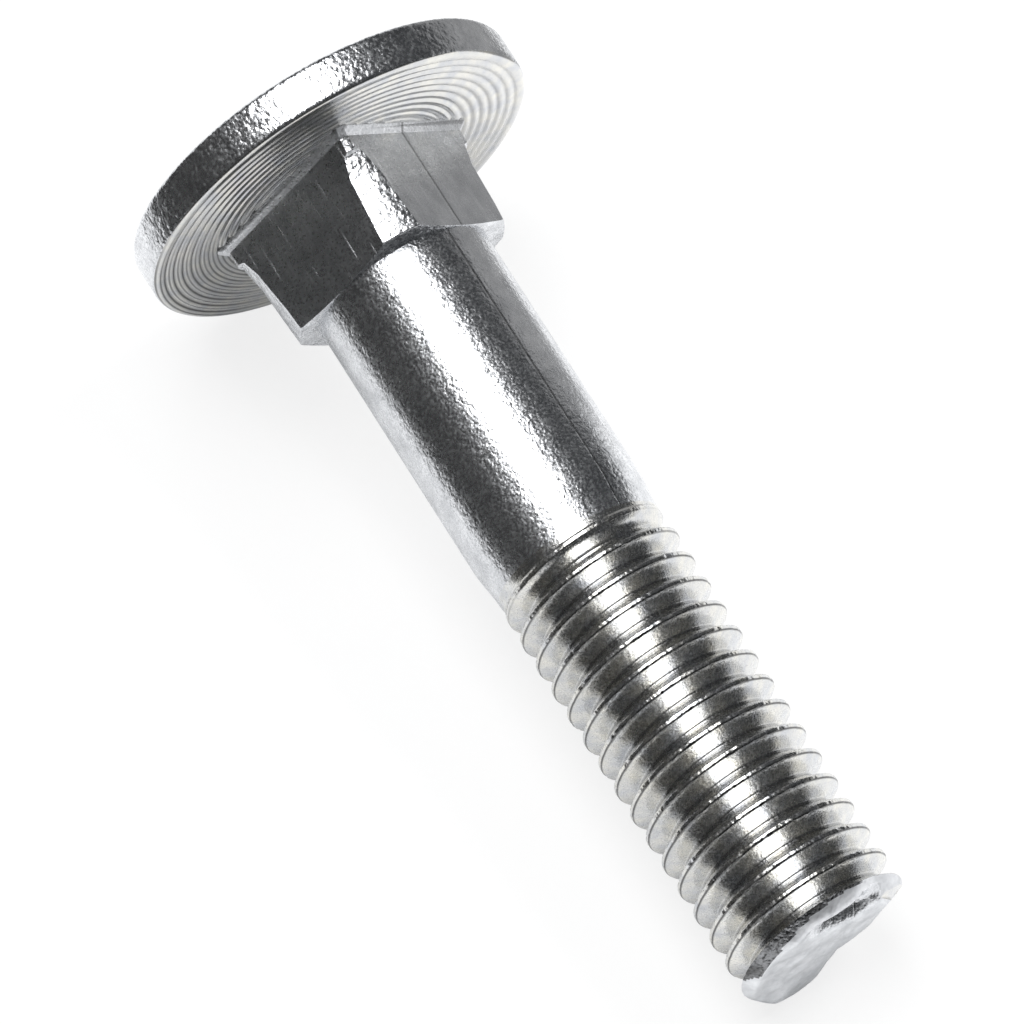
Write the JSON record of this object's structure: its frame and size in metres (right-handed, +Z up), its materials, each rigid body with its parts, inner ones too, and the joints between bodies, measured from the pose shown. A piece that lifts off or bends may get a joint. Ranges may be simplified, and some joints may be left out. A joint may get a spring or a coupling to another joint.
{
  "type": "carriage bolt",
  "caption": "Bright zinc-plated steel carriage bolt: low domed round head, square neck that grips wood or a square hole, plain shank and coarse right-hand thread.",
  "frame": {"origin": "on the floor under the middle of the lying bolt's bounding box", "axes": "+X along the bolt from head to threaded end, seen from above; +Z up from the floor; the axis dips towards the thread because the bolt rests on its head's rim and on the thread"},
  "size_m": [0.043, 0.018, 0.018],
  "materials": {
    "zinc": "bright zinc plate with a fine mottle"
  },
  "bodies": {
    "root": {"bolt": "zinc"}
  },
  "joints": []
}
